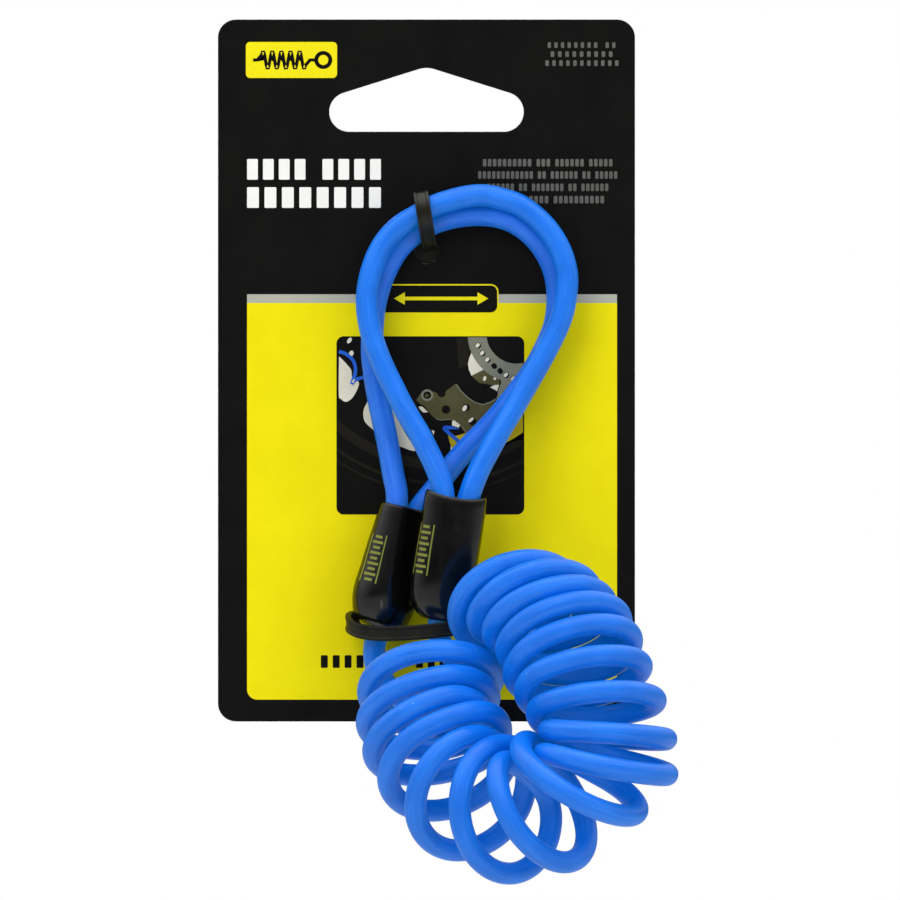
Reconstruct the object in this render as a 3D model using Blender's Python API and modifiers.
"""Reminder cable for a motorcycle disc lock, strapped to its hang card.

A plastic-coated steel cable is wound into a coil of seventeen turns. Each end of
the cable is folded back into an eye and crimped, and a black sleeve covers the
crimp. Two nylon cable ties hold the eyes and the sleeves on a hang card.

Metres, +Z up. The card's back face lies in the plane Y = 0, its printed front
looks along -Y, and the origin is the centre of the back face. Tables are in
millimetres; "front" in them is the distance in front of the card's back, along -Y.
"""
import bpy
import bmesh
import math
import numpy as np
from mathutils import Vector, Matrix

MM = 0.001

# ---------------------------------------------------------------- dimensions
CARD_W = 69.5 * MM
CARD_H = 117.0 * MM
CARD_T = 0.5 * MM
CARD_CORNER_R = 3.0 * MM

SLOT_HALF_W = 16.2 * MM       # hang slot, the usual 32 mm triangular outline
SLOT_BOTTOM = 39.8 * MM
SLOT_APEX = 50.4 * MM
SLOT_END_R = 3.3 * MM
SLOT_APEX_R = 4.6 * MM

TIE_HOLE_R = 2.1 * MM         # punched holes that the cable ties pass through
TIE_HOLES = ((-0.5, 26.25), (0.0, 19.9), (-9.8, -41.6), (6.2, -41.4))   # x, z in mm

CABLE_R = 1.85 * MM           # outside of the plastic jacket
BORE_R = 0.95 * MM            # hole through the jacket
CORE_R = 0.55 * MM            # steel rope
EYE_STEP = 3.0 * MM           # ring spacing along an eye
CURVE_STEPS = 6               # steps between neighbouring points of a cable's middle line

STRAP_W = 2.5 * MM
STRAP_T = 1.0 * MM
STRAP_CURVE_STEPS = 2
TIE_HEAD_BEVEL = 0.35 * MM

WELD_DISTANCE = 0.01 * MM

# ------------------------------------------------------------- coil settings
COIL_R = 10.35 * MM           # radius of the coil, to the middle of the cable
COIL_STEPS = 20               # points a turn that the coil is laid out with
COIL_KEEP = 2                 # every COIL_KEEP-th of them becomes a ring of the solid

STRAND_GAP = 0.42 * MM        # wanted between neighbouring strands
CARD_GAP = 0.6 * MM           # wanted between the coil and the card's front
SETTLE_ROUNDS = 240
SETTLE_RATE = 0.6             # share of each correction that is applied
SMOOTH_PASSES = 2             # times each correction is averaged along the cable
HOLD_POINTS = 8.0             # hold eases off by 1 over this many points from an end,
HOLD_OFFSET = 0.6             # less this offset, so the first points stay fixed

# One row a turn: centre of the turn (x, z), front, the direction of its outer side
# in degrees from +X towards +Z, and how far the turn leans over, in degrees.
COIL_TURNS = (
    (15.2, -39.0, 16.1, 16.0, -43.0),
    (18.1, -39.6, 18.4, 15.5, -36.0),
    (20.3, -41.7, 20.6, 15.0, -31.0),
    (22.7, -44.2, 22.6, 14.0, -30.0),
    (24.3, -47.5, 24.4, 11.5, -27.0),
    (25.9, -51.4, 26.1, 5.5, -21.0),
    (28.2, -56.3, 28.1, -0.5, -17.0),
    (29.7, -61.1, 30.7, -9.0, -6.0),
    (29.4, -65.6, 33.1, -16.0, 0.0),
    (24.5, -68.7, 34.6, -38.0, 10.0),
    (18.0, -72.8, 32.2, -68.0, 25.0),
    (12.1, -72.7, 28.8, -97.0, 40.0),
    (5.8, -68.9, 25.2, -135.0, 38.0),
    (2.8, -64.0, 22.2, -157.0, 33.0),
    (0.8, -60.0, 20.0, -163.0, 26.0),
    (0.3, -56.2, 17.6, -172.0, 27.0),
    (0.8, -52.2, 15.6, -181.0, 33.0),
)
TURN_COUNT = len(COIL_TURNS)
FIRST_TURN = 0.62             # where the winding starts and ends; row 1 is turn 1
LAST_TURN = TURN_COUNT + 0.42

# Cable between the sleeves and the coil: x, front, z.
LEAD_IN = ((2.2, 9.7, -44.6), (4.5, 7.9, -47.7), (9.8, 6.4, -48.7))
LEAD_OUT = ((-2.6, 4.4, -55.6), (-6.4, 4.2, -52.6), (-8.4, 5.0, -49.2), (-8.7, 5.7, -46.2))
COIL_END_HEIGHTS = (3.4, 1.5, -0.6)     # on a sleeve's axis, from the cable's end outwards
COIL_CORE_HEIGHT = 4.0                  # where the coil's rope ends inside a sleeve

# ------------------------------------------------------- sleeves and ferrules
# Foot (x, front, z), direction of the axis from foot to mouth (x, front, z), and
# how far the sleeve is turned about it, in degrees.
SLEEVES = {
    "a": ((-7.8, 5.8, -42.9), (4.5, -0.4, 19.7), 35.0),
    "b": ((2.15, 10.2, -41.5), (2.7, 0.8, 19.8), 15.0),
}

# Sections: height above the foot, half width, half depth, roundness power (2 is an
# ellipse), sideways shift. Outside from mouth to foot, then the bore back up.
SLEEVE_SECTIONS = (
    (20.6, 4.95, 2.75, 2.3, 0.0), (20.2, 5.15, 2.95, 2.3, 0.0),
    (17.0, 5.34, 3.22, 2.3, -0.1), (12.0, 5.40, 3.72, 2.3, -0.3),
    (7.0, 5.40, 4.02, 2.3, -0.4), (4.2, 5.25, 4.08, 2.3, -0.4),
    (2.2, 4.75, 3.95, 2.2, -0.3), (0.9, 4.00, 3.60, 2.1, -0.1),
    (0.0, 3.10, 3.00, 2.0, 0.0),
    (0.0, 2.38, 2.38, 2.0, 0.0), (4.2, 2.38, 2.38, 2.0, 0.0),
    (5.0, 3.25, 2.50, 2.0, 0.0), (11.6, 3.25, 2.50, 2.0, 0.0),
    (13.2, 4.36, 2.36, 2.2, 0.0), (19.2, 4.38, 2.38, 2.2, 0.0),
    (20.6, 4.60, 2.50, 2.2, 0.0),
)
SLEEVE_SIDES = 24

# Height above the sleeve's foot, half width, half depth. Outside, then the bore.
FERRULE_SECTIONS = (
    (5.6, 2.60, 1.75), (5.9, 2.85, 2.00), (7.6, 2.85, 2.00), (8.3, 2.70, 1.85),
    (9.0, 2.85, 2.00), (10.7, 2.85, 2.00), (11.0, 2.60, 1.75),
    (11.0, 1.90, 0.95), (5.6, 1.90, 0.95),
)
FERRULE_POWER = 2.2
FERRULE_SIDES = 20

# --------------------------------------------------------------------- eyes
# Middle line of each eye between its legs: x, z, front.
EYES = {
    "a": (
        (-4.95, -20.3, 6.2), (-5.6, -17.0, 4.9), (-6.2, -13.5, 3.9), (-6.9, -10.0, 3.1),
        (-7.8, -5.8, 2.7), (-8.4, -2.7, 2.7), (-8.8, 0.2, 2.7), (-9.1, 3.2, 2.7),
        (-9.0, 6.2, 2.7), (-8.8, 9.1, 2.7), (-8.1, 12.9, 2.7), (-6.9, 16.2, 2.7),
        (-5.7, 18.6, 2.7), (-3.9, 21.1, 2.7), (-1.3, 23.2, 2.7), (1.6, 24.6, 2.7),
        (4.5, 25.5, 2.7), (8.8, 25.9, 2.7), (12.2, 25.5, 2.7), (15.4, 24.2, 2.7),
        (17.9, 22.1, 2.7), (19.7, 19.8, 2.7), (21.0, 17.2, 2.7), (21.7, 14.3, 2.7),
        (21.8, 11.4, 2.7), (21.5, 8.5, 2.7), (20.8, 6.0, 2.7), (19.4, 3.1, 2.7),
        (17.9, 0.2, 2.7), (15.1, -3.6, 2.7), (12.6, -6.8, 2.7), (10.2, -9.5, 2.7),
        (7.5, -12.2, 2.7), (5.5, -14.4, 2.8), (3.4, -17.0, 3.3), (1.7, -19.4, 3.9),
    ),
    "b": (
        (2.2, -17.7, 11.0), (0.9, -14.8, 10.3), (-1.0, -10.9, 9.5), (-3.4, -6.9, 8.8),
        (-5.4, -3.0, 8.0), (-7.2, 0.7, 7.4), (-8.7, 4.5, 7.0), (-9.5, 7.5, 6.9),
        (-9.9, 10.2, 6.8), (-9.9, 12.6, 6.6), (-9.5, 15.1, 6.4), (-8.8, 17.7, 6.2),
        (-7.8, 20.0, 5.9), (-6.4, 22.1, 5.8), (-4.5, 24.0, 5.8), (-1.4, 25.9, 5.8),
        (1.3, 27.4, 5.7), (5.2, 28.6, 5.3), (8.8, 29.2, 5.1), (12.3, 28.6, 5.1),
        (15.5, 27.5, 5.2), (18.6, 25.2, 5.5), (21.0, 22.4, 5.9), (22.5, 19.5, 6.2),
        (23.3, 16.8, 6.5), (23.4, 14.6, 6.7), (23.1, 11.4, 6.9), (22.4, 8.5, 6.9),
        (21.4, 6.2, 6.9), (19.9, 3.2, 7.0), (18.2, 0.1, 7.1), (16.4, -3.0, 7.4),
        (14.7, -6.0, 7.9), (13.0, -8.8, 8.6), (11.2, -11.9, 9.4), (9.4, -15.3, 9.9),
        (8.2, -17.8, 10.3),
    ),
}

# The legs inside a sleeve: heights above its foot, and distance to either side.
LEG_HEIGHTS = (14.0, 17.0, 20.2)
LEG_SIDE = 2.1

# Bare rope below the legs: height, side. The first end comes from the coil's rope;
# the second is the cut end.
CORE_START = ((4.4, 0.0), (5.2, -0.55), (6.4, -0.95), (11.0, -0.95), (12.6, -1.6), (14.0, -2.12))
CORE_END = ((14.0, 2.12), (12.6, 1.6), (11.0, 0.95), (6.0, 0.95))

# --------------------------------------------------------------- cable ties
# start, end: x, z of the line the tie follows behind the card.
# drop: local Z shift for each unit in front of the card's back.
# stations: middle line of the strap (distance from start, front).
# head: box from and to along the line, back and front of it, and its width.
TIES = {
    "tie_top": dict(
        start=(-0.45, 26.4), end=(0.6, 19.9), drop=0.0,
        stations=(
            (-0.4, -0.3), (-0.4, 0.6), (-0.5, 1.9), (-1.05, 2.8), (-2.1, 3.8),
            (-2.85, 5.0), (-3.0, 6.2), (-2.6, 7.3), (-1.4, 8.35), (0.1, 8.65),
            (1.6, 8.4), (3.0, 7.4), (4.0, 6.3), (4.9, 5.2), (5.6, 3.9), (6.0, 2.4),
            (6.15, 1.0), (6.1, -0.2), (5.3, -1.15), (3.4, -1.3), (1.6, -1.3), (-0.1, -1.15),
        ),
        head=(3.9, 8.3, -4.1, -0.35, 4.6),
    ),
    "tie_bottom": dict(
        start=(-9.8, -41.6), end=(6.2, -41.5), drop=0.2,
        stations=(
            (-0.2, -0.3), (-0.9, 1.4), (-2.0, 3.2), (-2.85, 5.4), (-2.7, 7.6),
            (-1.2, 9.6), (1.2, 10.4), (4.5, 10.8), (8.0, 11.5), (11.2, 12.3),
            (13.4, 12.25), (14.9, 11.0), (15.4, 8.6), (15.5, 5.8), (15.7, 3.2),
            (15.8, 1.0), (15.7, -0.4), (14.8, -1.25), (11.0, -1.35), (6.0, -1.35),
            (1.2, -1.2),
        ),
        head=(6.4, 11.0, -4.3, -0.9, 3.8),
    ),
}


# ------------------------------------------------------------ scene helpers
def clear_scene():
    for obj in list(bpy.data.objects):
        bpy.data.objects.remove(obj, do_unlink=True)


def add_collection(name):
    group = bpy.data.collections.new(name)
    bpy.context.scene.collection.children.link(group)
    return group


def add_material(name, colour, roughness, metallic=0.0):
    material = bpy.data.materials.new(name)
    material.use_nodes = True
    shader = material.node_tree.nodes["Principled BSDF"]
    shader.inputs["Base Color"].default_value = (*colour, 1.0)
    shader.inputs["Roughness"].default_value = roughness
    shader.inputs["Metallic"].default_value = metallic
    material.diffuse_color = (*colour, 1.0)
    return material


# -------------------------------------------------------------- path helpers
def place(x, front, z):
    """Point in metres from millimetres."""
    return np.array((x, -front, z)) * MM


def extend_ends(points):
    """The points with one more extrapolated at each end."""
    points = np.asarray(points, float)
    return np.vstack((2 * points[0] - points[1], points, 2 * points[-1] - points[-2]))


def catmull_point(p0, p1, p2, p3, t):
    """Catmull-Rom point between p1 (t = 0) and p2 (t = 1)."""
    return 0.5 * (2 * p1 + (p2 - p0) * t + (2 * p0 - 5 * p1 + 4 * p2 - p3) * t * t
                  + (3 * p1 - p0 - 3 * p2 + p3) * t ** 3)


def smooth_curve(points, steps):
    """Smooth curve through the points, with this many steps between neighbours."""
    padded = extend_ends(points)
    curve = []
    for i in range(1, len(padded) - 2):
        for t in np.arange(steps) / steps:
            curve.append(catmull_point(*padded[i - 1:i + 3], t))
    curve.append(padded[-2])
    return np.array(curve)


def resample(points, spacing):
    """Points at an even spacing near the given one along the polyline."""
    lengths = np.linalg.norm(np.diff(points, axis=0), axis=1)
    travelled = np.concatenate(((0,), np.cumsum(lengths)))
    count = max(2, int(round(travelled[-1] / spacing)))
    stops = np.linspace(0, travelled[-1], count + 1)
    return np.stack([np.interp(stops, travelled, points[:, k]) for k in range(3)], axis=1)


def sleeve_frame(key):
    """Foot, axis, width direction and depth direction of a sleeve."""
    foot, (axis_x, axis_front, axis_z), turn = SLEEVES[key]
    axis = np.array((axis_x, -axis_front, axis_z))
    axis = axis / np.linalg.norm(axis)
    side = np.array((1.0, 0.0, 0.0))
    side = side - axis * side.dot(axis)
    side = side / np.linalg.norm(side)
    back = np.cross(axis, side)
    cos, sin = math.cos(math.radians(turn)), math.sin(math.radians(turn))
    return place(*foot), axis, cos * side + sin * back, -sin * side + cos * back


def in_sleeve(key, height, side=0.0):
    foot, axis, width_dir, _ = sleeve_frame(key)
    return foot + axis * height * MM + width_dir * side * MM


# ------------------------------------------------------------------ the coil
def coil_point(turn):
    """Middle of the cable at a fractional turn of the coil."""
    rows = extend_ends(COIL_TURNS)
    i = int(min(max(math.floor(turn), 1), TURN_COUNT - 1))
    x, z, front, outer_angle, lean = catmull_point(*rows[i - 1:i + 3], turn - i)
    outer_angle, lean = math.radians(outer_angle), math.radians(lean)
    outward = np.array((math.cos(outer_angle), 0.0, math.sin(outer_angle)))
    along = np.array((math.sin(outer_angle), 0.0, -math.cos(outer_angle)))
    forward = math.cos(lean) * np.array((0.0, -1.0, 0.0)) + math.sin(lean) * along
    phase = math.pi / 2 + 2 * math.pi * turn
    return place(x, front, z) + COIL_R * (math.cos(phase) * outward + math.sin(phase) * forward)


def coil_path():
    """Middle line of the coil from inside sleeve b to inside sleeve a."""
    points = [in_sleeve("b", height) for height in COIL_END_HEIGHTS]
    points += [place(*row) for row in LEAD_IN]
    count = int((LAST_TURN - FIRST_TURN) * COIL_STEPS)
    points += [coil_point(FIRST_TURN + (LAST_TURN - FIRST_TURN) * j / count)
               for j in range(count + 1)]
    points += [place(*row) for row in LEAD_OUT]
    points += [in_sleeve("a", height) for height in reversed(COIL_END_HEIGHTS)]
    spacing = 2 * math.pi * COIL_R / COIL_STEPS
    return settle(resample(smooth_curve(points, CURVE_STEPS), spacing))


def settle(points):
    """Push the coil's strands apart, and off the card, leaving its ends in place."""
    clearance = 2 * CABLE_R + STRAND_GAP
    index = np.arange(len(points))
    other_strand = np.abs(index[:, None] - index[None, :]) > COIL_STEPS // 4
    from_end = np.minimum(index, len(points) - 1 - index)
    freedom = np.clip(from_end / HOLD_POINTS - HOLD_OFFSET, 0.0, 1.0)[:, None]
    for _ in range(SETTLE_ROUNDS):
        offset = points[:, None, :] - points[None, :, :]
        distance = np.linalg.norm(offset, axis=2) + 1e-9      # never zero
        push = np.where(other_strand & (distance < clearance), (clearance - distance) * 0.5, 0.0)
        move = (offset / distance[..., None] * push[..., None]).sum(axis=1)
        too_close = np.clip(points[:, 1] + CARD_T + CARD_GAP + CABLE_R, 0.0, None)
        over_card = points[:, 2] > -CARD_H / 2 - CABLE_R
        move[:, 1] -= np.where(over_card, too_close, 0.0)
        for _ in range(SMOOTH_PASSES):
            padded = np.vstack((move[:1], move, move[-1:]))
            move = 0.25 * padded[:-2] + 0.5 * padded[1:-1] + 0.25 * padded[2:]
        points = points + SETTLE_RATE * move * freedom
    return points


def eye_path(key):
    """Middle line of an eye, from its first leg's end to its second leg's end."""
    points = [in_sleeve(key, height, -LEG_SIDE) for height in LEG_HEIGHTS]
    points += [place(x, front, z) for x, z, front in EYES[key]]
    points += [in_sleeve(key, height, LEG_SIDE) for height in reversed(LEG_HEIGHTS)]
    return resample(smooth_curve(points, CURVE_STEPS), EYE_STEP)


# ------------------------------------------------------------ shape helpers
def curve_to_mesh(obj, material, group):
    """Replace a curve object by the mesh it evaluates to, with its caps welded."""
    group.objects.link(obj)
    bpy.context.view_layer.update()
    depsgraph = bpy.context.evaluated_depsgraph_get()
    mesh = bpy.data.meshes.new_from_object(obj.evaluated_get(depsgraph))
    name, matrix = obj.name, obj.matrix_world.copy()
    bpy.data.objects.remove(obj, do_unlink=True)
    mesh.name = name
    bm = bmesh.new()
    bm.from_mesh(mesh)
    bmesh.ops.remove_doubles(bm, verts=bm.verts, dist=WELD_DISTANCE)
    bmesh.ops.recalc_face_normals(bm, faces=bm.faces)
    bm.to_mesh(mesh)
    bm.free()
    mesh.materials.append(material)
    solid = bpy.data.objects.new(name, mesh)
    solid.matrix_world = matrix
    group.objects.link(solid)
    return solid


def round_bar(name, points, radius, capped, bevel_steps, material, group):
    """Smooth-shaded round skin along a polyline."""
    curve = bpy.data.curves.new(name, "CURVE")
    curve.dimensions = "3D"
    curve.bevel_depth = radius
    curve.bevel_resolution = bevel_steps
    curve.use_fill_caps = capped
    curve.twist_mode = "MINIMUM"
    spline = curve.splines.new("POLY")
    spline.points.add(len(points) - 1)
    for point, position in zip(spline.points, points):
        point.co = (*position, 1.0)
    bar = curve_to_mesh(bpy.data.objects.new(name, curve), material, group)
    bar.data.shade_smooth()
    return bar


def jacket(name, points, material, group):
    """Hollow plastic tube along the points, open at both ends."""
    tube = round_bar(name, points, CABLE_R, False, 2, material, group)
    wall = tube.modifiers.new("wall", "SOLIDIFY")
    wall.thickness = CABLE_R - BORE_R
    wall.offset = -1.0
    wall.use_even_offset = False


def rope(name, points, material, group):
    round_bar(name, points, CORE_R, True, 1, material, group)


def plate_curve(name, thickness, outlines):
    """Filled flat curve object; outlines inside the first are holes."""
    curve = bpy.data.curves.new(name, "CURVE")
    curve.dimensions = "2D"
    curve.fill_mode = "BOTH"
    curve.extrude = thickness / 2
    for outline in outlines:
        spline = curve.splines.new("POLY")
        spline.points.add(len(outline) - 1)
        for point, (x, y) in zip(spline.points, outline):
            point.co = (x, y, 0.0, 1.0)
        spline.use_cyclic_u = True
    return bpy.data.objects.new(name, curve)


def closed_loft(name, rings, material, group):
    """Closed surface through rings of points; the last ring joins the first."""
    bm = bmesh.new()
    loops = [[bm.verts.new(tuple(position)) for position in ring] for ring in rings]
    for i, loop in enumerate(loops):
        following = loops[(i + 1) % len(loops)]
        for j in range(len(loop)):
            k = (j + 1) % len(loop)
            bm.faces.new((loop[j], loop[k], following[k], following[j]))
    bmesh.ops.recalc_face_normals(bm, faces=bm.faces)
    mesh = bpy.data.meshes.new(name)
    bm.to_mesh(mesh)
    bm.free()
    mesh.materials.append(material)
    mesh.shade_smooth()
    group.objects.link(bpy.data.objects.new(name, mesh))


def oval(key, height, half_width, half_depth, power, shift, sides):
    """Ring of points round a sleeve's axis."""
    foot, axis, width_dir, depth_dir = sleeve_frame(key)
    ring = []
    for j in range(sides):
        angle = 2 * math.pi * j / sides
        cos, sin = math.cos(angle), math.sin(angle)
        x = half_width * math.copysign(abs(cos) ** (2 / power), cos)
        y = half_depth * math.copysign(abs(sin) ** (2 / power), sin)
        ring.append(foot + (axis * height + width_dir * (x + shift) + depth_dir * y) * MM)
    return ring


def arc(centre_x, centre_y, radius, start, end, steps):
    """Points on an arc, both ends included; angles in degrees."""
    angles = [math.radians(start + (end - start) * i / steps) for i in range(steps + 1)]
    return [(centre_x + radius * math.cos(angle), centre_y + radius * math.sin(angle))
            for angle in angles]


# ------------------------------------------------------------------- pieces
def sleeve(key, material, group):
    """Moulded cover: flat oval mouth, rounder foot, open right through."""
    rings = [oval(key, *row, SLEEVE_SIDES) for row in SLEEVE_SECTIONS]
    closed_loft("sleeve_" + key, rings, material, group)


def ferrule(key, material, group):
    """Crimped band round the two bare legs of the rope, open right through."""
    rings = [oval(key, *row, FERRULE_POWER, 0.0, FERRULE_SIDES) for row in FERRULE_SECTIONS]
    closed_loft("ferrule_" + key, rings, material, group)


def eye(key, jacket_material, rope_material, group):
    """Jacketed eye, with its rope running on into the ferrule at both ends."""
    line = eye_path(key)
    jacket(f"eye_{key}_jacket", line, jacket_material, group)
    points = [in_sleeve(key, *row) for row in CORE_START]
    points += list(line[1:-1])
    points += [in_sleeve(key, *row) for row in CORE_END]
    rope(f"eye_{key}_core", points, rope_material, group)


def coil(jacket_material, rope_material, group):
    line = coil_path()[::COIL_KEEP]
    jacket("coil_jacket", line, jacket_material, group)
    points = [in_sleeve("b", COIL_CORE_HEIGHT), *line, in_sleeve("a", COIL_CORE_HEIGHT)]
    rope("coil_core", points, rope_material, group)


def card_outline():
    x, z = CARD_W / 2 - CARD_CORNER_R, CARD_H / 2 - CARD_CORNER_R
    outline = []
    for centre_x, centre_z, start in ((x, z, 0), (-x, z, 90), (-x, -z, 180), (x, -z, 270)):
        outline += arc(centre_x, centre_z, CARD_CORNER_R, start, start + 90, 5)
    return outline


def slot_outline():
    """Triangular hang slot: flat bottom, round ends, roof rising to a soft apex."""
    x, z = SLOT_HALF_W - SLOT_END_R, SLOT_BOTTOM + SLOT_END_R
    return (arc(x, z, SLOT_END_R, -90, 72, 8)
            + arc(0.0, SLOT_APEX - SLOT_APEX_R, SLOT_APEX_R, 74, 106, 4)
            + arc(-x, z, SLOT_END_R, 108, 270, 8))


def backing_card(material, group):
    holes = [arc(x * MM, z * MM, TIE_HOLE_R, 0, 330, 11) for x, z in TIE_HOLES]
    sheet = plate_curve("backing_card", CARD_T, [card_outline(), slot_outline(), *holes])
    sheet.rotation_euler = (math.pi / 2, 0, 0)
    sheet.location = (0, -CARD_T / 2, 0)
    curve_to_mesh(sheet, material, group)


def strap_outlines(stations):
    """Outer and inner loop around a strap's middle line."""
    middle = smooth_curve([*stations, stations[0]], STRAP_CURVE_STEPS)[:-1]
    tangent = np.roll(middle, -1, axis=0) - np.roll(middle, 1, axis=0)
    tangent = tangent / np.linalg.norm(tangent, axis=1)[:, None]
    inward = np.stack((tangent[:, 1], -tangent[:, 0]), axis=1)
    half = STRAP_T / MM / 2
    return [[(x * MM, y * MM) for x, y in loop]
            for loop in (middle - inward * half, middle + inward * half)]


def tie_frame(start, end):
    """Frame at a tie's start: X along its line behind the card, Y to the front."""
    start, end = np.array(start) * MM, np.array(end) * MM
    along = (end - start) / np.linalg.norm(end - start)
    axis_x = Vector((along[0], 0.0, along[1]))
    axis_y = Vector((0.0, -1.0, 0.0))
    frame = Matrix.Identity(4)
    for column, axis in enumerate((axis_x, axis_y, axis_x.cross(axis_y))):
        for row in range(3):
            frame[row][column] = axis[row]
    frame.translation = Vector((start[0], 0.0, start[1]))
    return frame


def tie_head(name, frame, head, group):
    """Bevelled box that the strap's Boolean adds; not rendered itself."""
    x0, x1, back, front, width = head
    bm = bmesh.new()
    bmesh.ops.create_cube(bm, size=1.0)
    bmesh.ops.scale(bm, vec=((x1 - x0) * MM, (front - back) * MM, width * MM), verts=bm.verts)
    bmesh.ops.translate(bm, vec=((x0 + x1) / 2 * MM, (back + front) / 2 * MM, 0), verts=bm.verts)
    bmesh.ops.bevel(bm, geom=list(bm.edges), offset=TIE_HEAD_BEVEL, segments=2, affect="EDGES")
    mesh = bpy.data.meshes.new(name)
    bm.to_mesh(mesh)
    bm.free()
    box = bpy.data.objects.new(name, mesh)
    box.matrix_world = frame
    box.hide_render = True
    box.display_type = "WIRE"
    group.objects.link(box)
    return box


def cable_tie(name, start, end, drop, stations, head, material, group, helper_group):
    """Nylon tie through two card holes: a closed strap, with its head behind the card."""
    frame = tie_frame(start, end)
    band = plate_curve(name, STRAP_W, strap_outlines(stations))
    band.matrix_world = frame
    strap = curve_to_mesh(band, material, group)
    for vertex in strap.data.vertices:
        vertex.co.z += drop * max(vertex.co.y, 0.0)
    join = strap.modifiers.new("head", "BOOLEAN")
    join.operation = "UNION"
    join.solver = "EXACT"
    join.object = tie_head(name + "_head", frame, head, helper_group)


# --------------------------------------------------------------------- build
clear_scene()
parts = add_collection("disc_lock_reminder_cable")
helpers = add_collection("cutters")

blue = add_material("cable_jacket_blue", colour=(0.012, 0.16, 0.80), roughness=0.36)
steel = add_material("steel_rope", colour=(0.62, 0.63, 0.65), roughness=0.32, metallic=1.0)
aluminium = add_material("ferrule_aluminium", colour=(0.72, 0.73, 0.75), roughness=0.38,
                         metallic=1.0)
black = add_material("sleeve_black", colour=(0.012, 0.012, 0.013), roughness=0.22)
nylon = add_material("tie_nylon_black", colour=(0.02, 0.02, 0.021), roughness=0.42)
board = add_material("card_board", colour=(0.02, 0.019, 0.017), roughness=0.5)

backing_card(board, parts)
for tie_name, tie in TIES.items():
    cable_tie(tie_name, **tie, material=nylon, group=parts, helper_group=helpers)
for sleeve_key in SLEEVES:
    sleeve(sleeve_key, black, parts)
    ferrule(sleeve_key, aluminium, parts)
    eye(sleeve_key, blue, steel, parts)
coil(blue, steel, parts)
